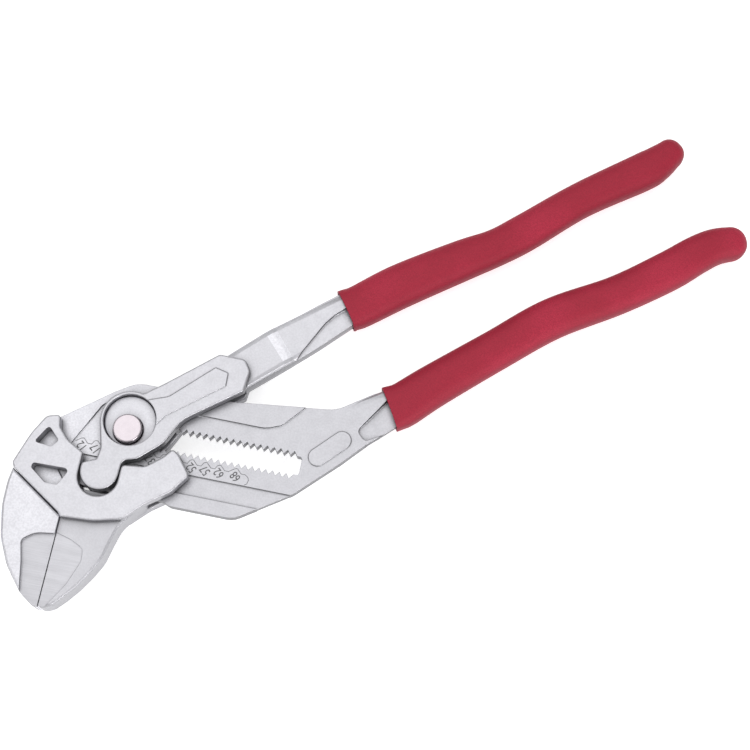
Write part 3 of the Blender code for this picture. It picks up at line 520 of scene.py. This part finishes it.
# %% Steel on the solids
def dress(material, *names):
    """Gives solids of the frame this material in place of the one they came with."""
    for name in names:
        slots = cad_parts[name].data.materials
        slots.clear()
        slots.append(material)
    print(material.name, "on", ", ".join(names))


dress(blasted_steel(
    "blasted_steel_arm", face=0.58, wall=0.13, roughness=0.42, edge_width=0.28, ground=True, head=0.76,
), "slotted_arm")
dress(blasted_steel(
    "blasted_steel_jaw", face=0.655, wall=0.40, roughness=0.42, edge_width=0.28, ground=True,
), "sliding_jaw")
dress(blasted_steel(
    "blasted_steel_lever", face=0.61, wall=0.24, roughness=0.40, edge_width=0.45, band=0.84,
), "lever_arm")
dress(blasted_steel(
    "turned_steel_disc", face=0.63, wall=0.60, roughness=0.36, edge_width=0.45, centre=(0.0, 0.0),
), "joint_bolt", "rear_disc")
collar_steel = blasted_steel("milled_steel_collar", face=0.45, wall=0.20, roughness=0.34, edge_width=0.45)
dress(collar_steel, "lock_collar")

# %% [markdown]
# ## The polished button
# The button is turned and polished until it mirrors the room, with only a trace of the lathe left in
# fine rings round its middle. The solid is already a turned shape, so it keeps its mesh and gets this
# finish.

# %% Polished steel for the button
button_low, button_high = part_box("push_button")
BUTTON_CENTRE = ((button_low.x + button_high.x) / 2, (button_low.y + button_high.y) / 2)
BUTTON_RIM = 0.25 * MM
BUTTON_RINGS = 4200
BUTTON_RELIEF = 0.003 * MM
SMEARS = 420
# Both button colours carry a faint pink cast, a painted reflection.
BRIGHT_BUTTON = (0.64, 0.585, 0.62, 1.0)
DULL_BUTTON = (0.42, 0.375, 0.40, 1.0)


def polished_steel():
    made, board, shader, place = new_material("polished_steel_button")
    rings = turned_rings(board, place, BUTTON_CENTRE, BUTTON_RINGS)
    smears = noise(board, place, SMEARS, 3.0)
    _, soft = worn_and_highlit_edges(board, BUTTON_RIM)
    board.fill(shader, {
        "Base Color": board.tint(rings * 0.35 + smears * 0.25, BRIGHT_BUTTON, DULL_BUTTON),
        "Roughness": 0.16 + smears * 0.14,
        "Metallic": 1.0,
        "Normal": bumped(board, rings * BUTTON_RELIEF, soft),
    })
    return made


dress(polished_steel(), "push_button")
print("the button's middle in mm:", [round(part / MM, 2) for part in BUTTON_CENTRE])

# %% [markdown]
# ## The dipped handles
# Each handle is dipped in soft red plastic. The skin follows the steel, rounds its corners and ends in
# a dome, and its mouth is a little bead where the dip was trimmed. A dip follows its handle by a rule:
# one rounded section, square to the path, whose width and thickness change along the way. So one tree
# bends a flat grid round a path, and the path's points carry the sizes.

# %% The sleeve tree
PATH_STEPS = 16
SLEEVE_WELD = 0.01 * MM


def sleeve_tree(material):
    inputs = {
        "Geometry": "Geometry", "Sides": "Int", "Steps": "Int", "Tip": "Float", "Tip share": "Float",
    }
    board, given = new_tree("dipped_sleeve", inputs)
    path = board.node("GeometryNodeMeshToCurve", None, {0: given["Geometry"]})
    path = board.node("GeometryNodeCurveSplineType", {"spline_type": "CATMULL_ROM"}, {0: path})
    path = board.node("GeometryNodeSetSplineResolution", None, {
        "Geometry": path, "Resolution": PATH_STEPS,
    })
    sizes = {"Size X": 1.0, "Size Y": 1.0, "Vertices X": given["Sides"], "Vertices Y": given["Steps"]}
    grid = board.node("GeometryNodeMeshGrid", None, sizes)
    u, v, _ = board.parts(board.node("GeometryNodeInputPosition"))
    travel = (v + 0.5) * (1 + given["Tip share"])
    along = board.sum("MINIMUM", travel, 1.0)
    bend = board.sum("MAXIMUM", travel - 1, 0.0) / given["Tip share"] * (math.pi / 2)

    def sampled(title, output=0):
        """A value that the path's points carry, or with output 1 the place itself."""
        value = board.node("GeometryNodeInputNamedAttribute", {"data_type": "FLOAT"}, {"Name": title})
        settings = {"mode": "FACTOR", "data_type": "FLOAT"}
        sockets = {"Curves": path, "Value": value, "Factor": along}
        return board.node("GeometryNodeSampleCurve", settings, sockets, output)

    centre = sampled("half_width", 1)
    heading = Wire(board, centre.socket.node.outputs[2])
    power = 2 / sampled("squareness")
    turn = (u + 0.5) * math.tau
    shrink = board.sum("COSINE", bend)

    def side(wave, half):
        """How far the section reaches along one of its two axes."""
        swing = board.sum(wave, turn)
        return board.sum("SIGN", swing) * abs(swing) ** power * half * shrink

    across = board.vector("CROSS_PRODUCT", (0.0, 0.0, 1.0), heading)
    sideways = board.scaled(across, side("COSINE", sampled("half_width")))
    rise = board.point(0.0, 0.0, side("SINE", sampled("half_thickness")))
    reach = board.scaled(heading, board.sum("SINE", bend) * given["Tip"])
    place = board.vector("ADD", board.vector("ADD", board.vector("ADD", centre, sideways), rise), reach)
    moved = board.node("GeometryNodeSetPosition", None, {"Geometry": grid, "Position": place})
    welded = board.node("GeometryNodeMergeByDistance", None, {
        "Geometry": moved, "Distance": SLEEVE_WELD,
    })
    smooth = board.node("GeometryNodeSetShadeSmooth", None, {0: welded})
    return close_tree(board, smooth, material)


print("doubles of the sleeve closer than", SLEEVE_WELD / MM, "mm are welded")

# %% [markdown]
# The plastic itself is a deep red with a soft shine. It carries a very fine orange-peel relief and
# clouds of a lighter red, and painted shade darkens it on its sides and where it meets the steel. Three
# noises of different size draw the clouds, the peel and the specks.

# %% Red plastic
CLOUD = 45
PEEL = 1500
FLECK = 3600
DEEP_RED = (0.415, 0.019, 0.045, 1.0)
LIGHT_RED = (0.505, 0.026, 0.062, 1.0)
FLECK_RED = (0.24, 0.012, 0.030, 1.0)
PEEL_RED = (0.27, 0.013, 0.034, 1.0)
# The next two reds are painted shade.
SIDE_SHADE_RED = (0.17, 0.009, 0.024, 1.0)
MOUTH_SHADE_RED = (0.08, 0.008, 0.016, 1.0)
MOUTH_REACH = 1.2 * MM
PEEL_RELIEF = 0.035 * MM
FLECK_RELIEF = 0.010 * MM


def red_plastic():
    made, board, shader, place = new_material("dipped_red_plastic")
    peel = noise(board, place, PEEL, 3.0, 0.6)
    cloud = noise(board, place, CLOUD, 3.0)
    fleck = noise(board, place, FLECK, 2.0)
    colour = board.stained_and_shaded(
        board.tint(board.between(cloud, 0.35, 0.68), DEEP_RED, LIGHT_RED),
        (board.between(fleck, 0.44, 0.64), 0.50, FLECK_RED),
        (board.between(peel, 0.40, 0.66), 0.30, PEEL_RED),
        # Painted shade on the plastic's sides.
        (1 - board.between(abs(lean_of(board)), 0.15, 0.80), 0.55, SIDE_SHADE_RED),
        # Painted shade where the plastic meets the steel.
        (shelter(board, MOUTH_REACH, 0.2, 0.9), 0.5, MOUTH_SHADE_RED),
    )
    board.fill(shader, {
        "Base Color": colour,
        "Roughness": 0.52 + peel * 0.14 + (cloud - 0.5) * 0.12,
        "Normal": bumped(board, peel * PEEL_RELIEF + fleck * FLECK_RELIEF),
        "Specular IOR Level": 0.30,
    })
    return made


sleeves = sleeve_tree(red_plastic())
print("sleeve tree of", len(sleeves.nodes), "nodes, in red plastic")

# %% [markdown]
# The upper handle belongs to the lever and the lower one to the slotted arm. Each row below is one
# place on the handle in millimetres: where it is, half its width and half its thickness, and then how
# square its section is. The first two rows make the bead at the mouth. A Solidify modifier gives the
# skin its wall and a Bevel rounds the lip, which is quicker than drawing both by hand.

# %% Two handles from two tables
WALL = 0.9 * MM
BEAD = 0.34 * MM
BEAD_STEPS = 3
LIP_ANGLE = math.radians(50)
SLEEVE_SIDES = 65
SLEEVE_STEPS = 121
DOME_SHARE = 0.09
UPPER_ROWS = (
    (67.2, 57.8, 7.98, 5.62, 3.0), (68.6, 58.8, 7.90, 5.58, 2.9), (72.0, 60.9, 8.00, 5.89, 2.6),
    (85.2, 71.7, 8.20, 6.20, 2.6), (105.1, 85.7, 7.60, 6.20, 2.6), (116.9, 93.5, 6.90, 6.01, 2.6),
    (126.8, 101.8, 7.00, 6.01, 2.6), (144.7, 118.4, 6.60, 6.20, 2.6), (165.5, 134.2, 7.10, 6.20, 2.6),
    (170.7, 138.9, 6.60, 6.08, 2.6), (174.55, 143.45, 5.60, 5.83, 2.6),
)
LOWER_ROWS = (
    (90.3, 24.2, 8.42, 4.90, 3.5), (91.6, 25.0, 8.35, 4.86, 3.4), (95.0, 27.2, 8.20, 5.27, 3.0),
    (104.2, 36.2, 7.90, 5.95, 2.6), (123.8, 53.9, 7.50, 6.20, 2.6), (142.3, 70.2, 7.60, 6.20, 2.6),
    (164.2, 84.0, 7.20, 6.20, 2.6), (181.0, 96.8, 7.40, 6.20, 2.6), (190.6, 105.4, 7.10, 6.20, 2.6),
    (196.8, 110.0, 6.70, 6.08, 2.6), (202.5, 112.3, 6.30, 5.95, 2.6),
)


def dipped_handle(name, rows, node, body):
    places = [(x * MM, y * MM, MIDDLE) for x, y, *_ in rows]
    values = {
        "half_width": [row[2] * MM for row in rows],
        "half_thickness": [row[3] * MM for row in rows],
        "squareness": [row[4] for row in rows],
    }
    sizes = {
        "Sides": SLEEVE_SIDES, "Steps": SLEEVE_STEPS, "Tip": rows[-1][2] * MM, "Tip share": DOME_SHARE,
    }
    piece = grow(name, sleeves, sizes, line_mesh(name + "_path", places, values))
    outward(piece)
    shell = piece.modifiers.new("wall", "SOLIDIFY")
    shell.thickness = WALL
    shell.offset = -1.0
    lip = piece.modifiers.new("bead", "BEVEL")
    lip.width = BEAD
    lip.segments = BEAD_STEPS
    lip.limit_method = "ANGLE"
    lip.angle_limit = LIP_ANGLE
    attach(piece, body)
    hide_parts(node)


dipped_handle("upper_sleeve", UPPER_ROWS, "upper_grip", "lever")
dipped_handle("lower_sleeve", LOWER_ROWS, "lower_grip", "arm")

# %% [markdown]
# ## The opening scale
# A laser burns the opening in millimetres beside the slot, with a stepped line whose points show the
# groove that each number stands for. Both are marks with almost no height, but they are made as thin
# plates and not painted, so they stay sharp from near and export with the tool. Each numeral comes from
# the same tree, which turns a text into a thin closed plate lying on the steel, and the line is a
# narrow ribbon that follows its points.

# %% Burnt marks
BURNT = (0.07, 0.07, 0.073, 1.0)
SINGED = (0.19, 0.19, 0.197, 1.0)
FLECKS = 6500


def burnt_mark():
    made, board, shader, place = new_material("burnt_mark")
    fleck = noise(board, place, FLECKS, 2.0)
    board.fill(shader, {
        "Base Color": board.tint(fleck, BURNT, SINGED),
        "Roughness": 0.50 + fleck * 0.20,
        "Metallic": 0.30,
    })
    return made


mark = burnt_mark()
print("marks go from", BURNT[0], "to", SINGED[0], "in grey")

# %% [markdown]
# A numeral starts as a text, which String to Curves turns into outlines. Filling them and pushing the
# fill up gives a closed plate, and a thin nib swept round each outline makes the strokes a little
# bolder. The tree squeezes, turns and places the result, so a number needs nothing but its values.

# %% A tree for numerals
NUMERAL_WELD = 0.001 * MM


def numeral_tree(material):
    inputs = {
        "Text": "String", "Size": "Float", "Squeeze": "Float", "Turn": "Float", "Place": "Vector",
        "Height": "Float", "Stroke": "Float",
    }
    board, given = new_tree("numeral", inputs)
    settings = {"align_x": "CENTER", "align_y": "MIDDLE"}
    letters = board.node("GeometryNodeStringToCurves", settings, {
        "String": given["Text"], "Size": given["Size"], "Character Spacing": 1.0,
    })
    letters = board.node("GeometryNodeRealizeInstances", None, {0: letters})
    nib = board.node("GeometryNodeCurvePrimitiveQuadrilateral", None, {
        "Width": given["Height"], "Height": given["Stroke"],
    })
    bold = board.node("GeometryNodeCurveToMesh", None, {"Curve": letters, "Profile Curve": nib})
    plate = board.node("GeometryNodeFillCurve", {"mode": "NGONS"}, {0: letters})
    top = board.node("GeometryNodeExtrudeMesh", {"mode": "FACES"}, {
        "Mesh": plate, "Offset Scale": given["Height"], "Individual": False,
    })
    base = board.node("GeometryNodeFlipFaces", None, {0: plate})
    shape = board.node("GeometryNodeMergeByDistance", None, {
        "Geometry": board.join(top, base, bold), "Distance": NUMERAL_WELD,
    })
    squeeze = board.point(given["Squeeze"], 1.0, 1.0)
    turn = board.point(0.0, 0.0, given["Turn"])
    shape = board.node("GeometryNodeTransform", None, {"Geometry": shape, "Scale": squeeze})
    shape = board.node("GeometryNodeTransform", None, {
        "Geometry": shape, "Rotation": turn, "Translation": given["Place"],
    })
    return close_tree(board, shape, material)


numerals = numeral_tree(mark)
print("numeral tree of", len(numerals.nodes), "nodes")

# %% [markdown]
# The stepped line is a chain of points with a flat, narrow section swept along it. Curve to Mesh does
# that in one node, and the curve's normal is held upright so that the ribbon lies flat on the steel.

# %% A tree for the stepped line
def ribbon_tree(material):
    board, given = new_tree("ribbon", {"Geometry": "Geometry", "Width": "Float", "Height": "Float"})
    path = board.node("GeometryNodeMeshToCurve", None, {0: given["Geometry"]})
    path = board.node("GeometryNodeSetCurveNormal", {"mode": "Z_UP"}, {0: path})
    band = board.node("GeometryNodeCurvePrimitiveQuadrilateral", None, {
        "Width": given["Width"], "Height": given["Height"],
    })
    ribbon = board.node("GeometryNodeCurveToMesh", None, {
        "Curve": path, "Profile Curve": band, "Fill Caps": True,
    })
    return close_tree(board, ribbon, material)


ribbons = ribbon_tree(mark)
print("ribbon tree of", len(ribbons.nodes), "nodes")

# %% [markdown]
# The numbers rise by 5 mm, one for every second groove, up to the last one, which is 6 mm further. Each
# is placed by its own value, from one opening whose place is known and the distance that a millimetre
# of opening takes along the slot. The line steps up to a blunt point above each number and closes in a
# bow after the last one. All the marks are joined into one piece, since they are one burn on the arm.

# %% The numbers and their stepped line
OPENINGS = (12, 17, 22, 27, 32, 37, 42, 47, 52, 57, 62, 68)
KNOWN_OPENING = 52
KNOWN_X = 24.9
MARK_RATE = 1.013
ZONE_TOP = 10.0 * MM
MARK_HEIGHT = 0.016 * MM
NUMERAL_ROW = -11.65 * MM
NUMERAL_LIFT = 0.004 * MM
NUMERAL_LOOK = {
    "Size": 4.4 * MM,
    "Squeeze": 0.76,
    "Turn": math.radians(140),
    "Height": MARK_HEIGHT,
    "Stroke": 0.035 * MM,
}
LINE_LIFT = 0.012 * MM
LINE_WIDTH = 0.18 * MM
LINE_START = (-2.7, -10.3)
LINE_STEP = ((-1.1, -9.1), (-0.4, -8.75), (0.2, -8.75), (0.6, -9.2), (1.8, -10.35), (3.3, -10.35))
LINE_BOW = ((45.6, -11.1), (46.0, -12.2), (45.7, -13.5), (44.8, -14.1))


def mark_x(opening):
    """Where along the slot an opening is marked, in millimetres."""
    return KNOWN_X + (opening - KNOWN_OPENING) * MARK_RATE


marks = []
for opening in OPENINGS:
    place = (mark_x(opening) * MM, NUMERAL_ROW, ZONE_TOP + NUMERAL_LIFT)
    values = {"Text": str(opening), "Place": place, **NUMERAL_LOOK}
    marks.append(grow("numeral_%d" % opening, numerals, values))
steps = [(mark_x(OPENINGS[0]) + LINE_START[0], LINE_START[1])]
for opening in OPENINGS:
    steps += [(mark_x(opening) + ahead, height) for ahead, height in LINE_STEP]
steps += LINE_BOW
line = line_mesh("stepped_line", [(x * MM, y * MM, ZONE_TOP + LINE_LIFT) for x, y in steps])
marks.append(grow("stepped_line", ribbons, {"Width": LINE_WIDTH, "Height": MARK_HEIGHT}, line))
with bpy.context.temp_override(active_object=marks[0], selected_editable_objects=marks):
    bpy.ops.object.join()
scale_marks = outward(marks[0])
scale_marks.name = "scale_marks"
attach(scale_marks, "arm")
print("scale from", OPENINGS[0], "to", OPENINGS[-1], "mm")

# %% [markdown]
# ## The spring under the button
# A coil of thin wire lifts the button after each press. It sits in the button's bore and is never seen
# whole, but it is a real part of the lock. A spiral with a round wire swept along it gives the coil. On
# the real lock it flattens as the button goes down, by a little more than the button travels, but here it
# is built at one length only.

# %% Coil spring
SPRING_LOW = 3.43 * MM
SPRING_HIGH = 12.19 * MM
SPRING_RADIUS = 1.0 * MM
SPRING_TURNS = 10.0
WIRE = 0.20 * MM
TURN_STEPS = 32
WIRE_SIDES = 8


def coil_tree(material):
    inputs = {
        "Turns": "Float", "Radius": "Float", "Height": "Float", "Wire": "Float", "Place": "Vector",
    }
    board, given = new_tree("coil", inputs)
    spiral = board.node("GeometryNodeCurveSpiral", None, {
        "Resolution": TURN_STEPS, "Rotations": given["Turns"], "Start Radius": given["Radius"],
        "End Radius": given["Radius"], "Height": given["Height"],
    })
    wire = board.node("GeometryNodeCurvePrimitiveCircle", None, {
        "Resolution": WIRE_SIDES, "Radius": given["Wire"],
    })
    coil = board.node("GeometryNodeCurveToMesh", None, {
        "Curve": spiral, "Profile Curve": wire, "Fill Caps": True,
    })
    coil = board.node("GeometryNodeTransform", None, {"Geometry": coil, "Translation": given["Place"]})
    smooth = board.node("GeometryNodeSetShadeSmooth", None, {0: coil})
    return close_tree(board, smooth, material)


spring = grow("coil_spring", coil_tree(collar_steel), {
    "Turns": SPRING_TURNS, "Radius": SPRING_RADIUS, "Wire": WIRE,
    "Height": SPRING_HIGH - SPRING_LOW - 2 * WIRE, "Place": (*BUTTON_CENTRE, SPRING_LOW + WIRE),
})
outward(spring)
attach(spring, "bolt")
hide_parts("button_spring")
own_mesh(spring)

# %% [markdown]
# ## The two rivets
# Two rivets hold the rear disc to the bolt. Their heads are hammered into countersinks, so each is a
# low dome on a cone with a straight shank above it. One tree builds the rivet once and puts it at both
# ends of a line.

# %% Rivets
rivet_low, rivet_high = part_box("right_rivet")
RIVET_X = (rivet_low.x + rivet_high.x) / 2
RIVET_BASE = 0.38 * MM
RIVET_HEAD = 1.28 * MM
RIVET_SHANK = 0.8 * MM
RIVET_LENGTH = 7.6 * MM
ROUND_SIDES = 48
DOME_RINGS = 16
DOME_SHARES = (0.99, 0.99, 0.20)


def rivet_tree(material):
    inputs = {
        "Spacing": "Float", "Place": "Vector", "Head": "Float", "Shank": "Float", "Length": "Float",
    }
    board, given = new_tree("rivets", inputs)
    spots = board.node("GeometryNodeMeshLine", None, {
        "Count": 2, "Start Location": given["Place"], "Offset": board.point(given["Spacing"], 0.0, 0.0),
    })
    cone = board.node("GeometryNodeMeshCone", None, {
        "Vertices": ROUND_SIDES, "Radius Top": given["Shank"], "Radius Bottom": given["Head"],
        "Depth": given["Head"] - given["Shank"],
    })
    shank = board.node("GeometryNodeMeshCylinder", None, {
        "Vertices": ROUND_SIDES, "Radius": given["Shank"], "Depth": given["Length"],
    })
    lift = board.point(0.0, 0.0, given["Length"] / 2)
    shank = board.node("GeometryNodeTransform", None, {"Geometry": shank, "Translation": lift})
    dome = board.node("GeometryNodeMeshUVSphere", None, {
        "Segments": ROUND_SIDES, "Rings": DOME_RINGS, "Radius": given["Head"],
    })
    flat = board.node("GeometryNodeTransform", None, {"Geometry": dome, "Scale": DOME_SHARES})
    smooth = board.node("GeometryNodeSetShadeSmooth", None, {0: board.join(cone, shank, flat)})
    placed = board.node("GeometryNodeInstanceOnPoints", None, {"Points": spots, "Instance": smooth})
    return close_tree(board, placed, material)


rivets = grow("rivets", rivet_tree(collar_steel), {
    "Spacing": 2 * RIVET_X, "Place": (-RIVET_X, BUTTON_CENTRE[1], RIVET_BASE), "Head": RIVET_HEAD,
    "Shank": RIVET_SHANK, "Length": RIVET_LENGTH,
})
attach(rivets, "bolt")
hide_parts("left_rivet", "right_rivet")
print("rivets", round(2 * RIVET_X / MM, 2), "mm apart")

# %% [markdown]
# ## The light table
# The tool lies on an opal sheet that glows a little from below and washes the shadows out, as catalogue
# photographers use it.

# %% Table
TABLE_REACH = 8.0
TABLE_GLOW = 0.62
TABLE_CLOUD = 6
TABLE_TONES = ((0.79, 0.79, 0.795, 1.0), (0.82, 0.82, 0.825, 1.0))


def table_finish():
    made, board, shader, place = new_material("pale_table")
    board.fill(shader, {
        "Base Color": board.tint(noise(board, place, TABLE_CLOUD, 2.0), *TABLE_TONES),
        "Roughness": 0.80,
        "Emission Color": (1.0, 1.0, 1.0, 1.0),
        "Emission Strength": TABLE_GLOW,
    })
    return made


shape = bmesh.new()
bmesh.ops.create_grid(shape, x_segments=1, y_segments=1, size=TABLE_REACH)
mesh = bpy.data.meshes.new("table")
shape.to_mesh(mesh)
shape.free()
mesh.materials.append(table_finish())
floor = bpy.data.objects.new("table", mesh)
bpy.context.scene.collection.objects.link(floor)
print("table reaches", TABLE_REACH, "m each way")

# %% [markdown]
# ## Lamps and room
# A wide lamp overhead gives the broad faces their even grey, a second from the lower right draws the
# thin bright rims, and a weak third opens the joints on the left. All three are round area lamps, whose
# soft edges leave no hard line on satin steel, and each is aimed at the middle of the tool.

# %% Lamps
TOOL_CENTRE = Vector((0.075, 0.035, 0.0))
LAMPS = (
    ("overhead", (-0.16, 0.34, 1.22), 1.30, 4.1),
    ("lower_right", (0.55, -0.50, 0.45), 0.45, 2.4),
    ("lower_left", (-0.45, -0.40, 0.42), 0.45, 0.5),
)
for name, place, size, power in LAMPS:
    light = bpy.data.lights.new(name, "AREA")
    light.shape = "DISK"
    light.size = size
    light.energy = power
    holder = bpy.data.objects.new(name, light)
    holder.location = place
    holder.rotation_euler = (TOOL_CENTRE - Vector(place)).to_track_quat("-Z", "Y").to_euler()
    bpy.context.scene.collection.objects.link(holder)
    print(name, "lamp,", size, "m wide,", power, "W")

# %% [markdown]
# The pale ceiling fills in the rest. The room darkens towards the horizon, as it does behind black
# cards, so that side walls and rounded edges draw dark outlines. One colour that follows the height of
# the view does this, and it is softer than cards that the steel would mirror.

# %% Room
HORIZON = (0.16, 0.16, 0.17, 1.0)
CEILING = (1.0, 1.0, 1.0, 1.0)
ROOM_LIGHT = 0.62
world = bpy.data.worlds.new("pale_room")
world.use_nodes = True
room = Board(world.node_tree)
height = room.parts(room.node("ShaderNodeTexCoord"))[2]
paint = room.tint(room.between(height, 0.02, 0.55), HORIZON, CEILING)
room.fill(world.node_tree.nodes["Background"], {"Color": paint, "Strength": ROOM_LIGHT})
bpy.context.scene.world = world
bpy.context.scene.view_settings.view_transform = "Standard"
print("room light", ROOM_LIGHT)

# %% [markdown]
# ## Camera
# The camera stands where the photographer stood, almost straight above the tool and a little towards
# its jaws, with a long lens that keeps the handles nearly parallel. Its turn is written as the
# direction that it looks in and the one that is up in the picture, which is easier to check than three
# angles.

# %% Camera
EYE = Vector((0.1160, -0.1281, 0.6073))
AHEAD = Vector((-0.0538, 0.2637, -0.9631)).normalized()
TOP = Vector((-0.1927, 0.9436, 0.2691))
LENS = 81.6
SENSOR = 36
NEAREST = 0.01
lens = bpy.data.cameras.new("photo_camera")
lens.lens = LENS
lens.sensor_width = SENSOR
lens.clip_start = NEAREST
camera = bpy.data.objects.new("photo_camera", lens)
side = AHEAD.cross(TOP).normalized()
turn = Matrix((side, side.cross(AHEAD), -AHEAD)).transposed()
camera.matrix_world = Matrix.Translation(EYE) @ turn.to_4x4()
bpy.context.scene.collection.objects.link(camera)
bpy.context.scene.camera = camera
print("camera", round(EYE.length, 3), "m from the joint")
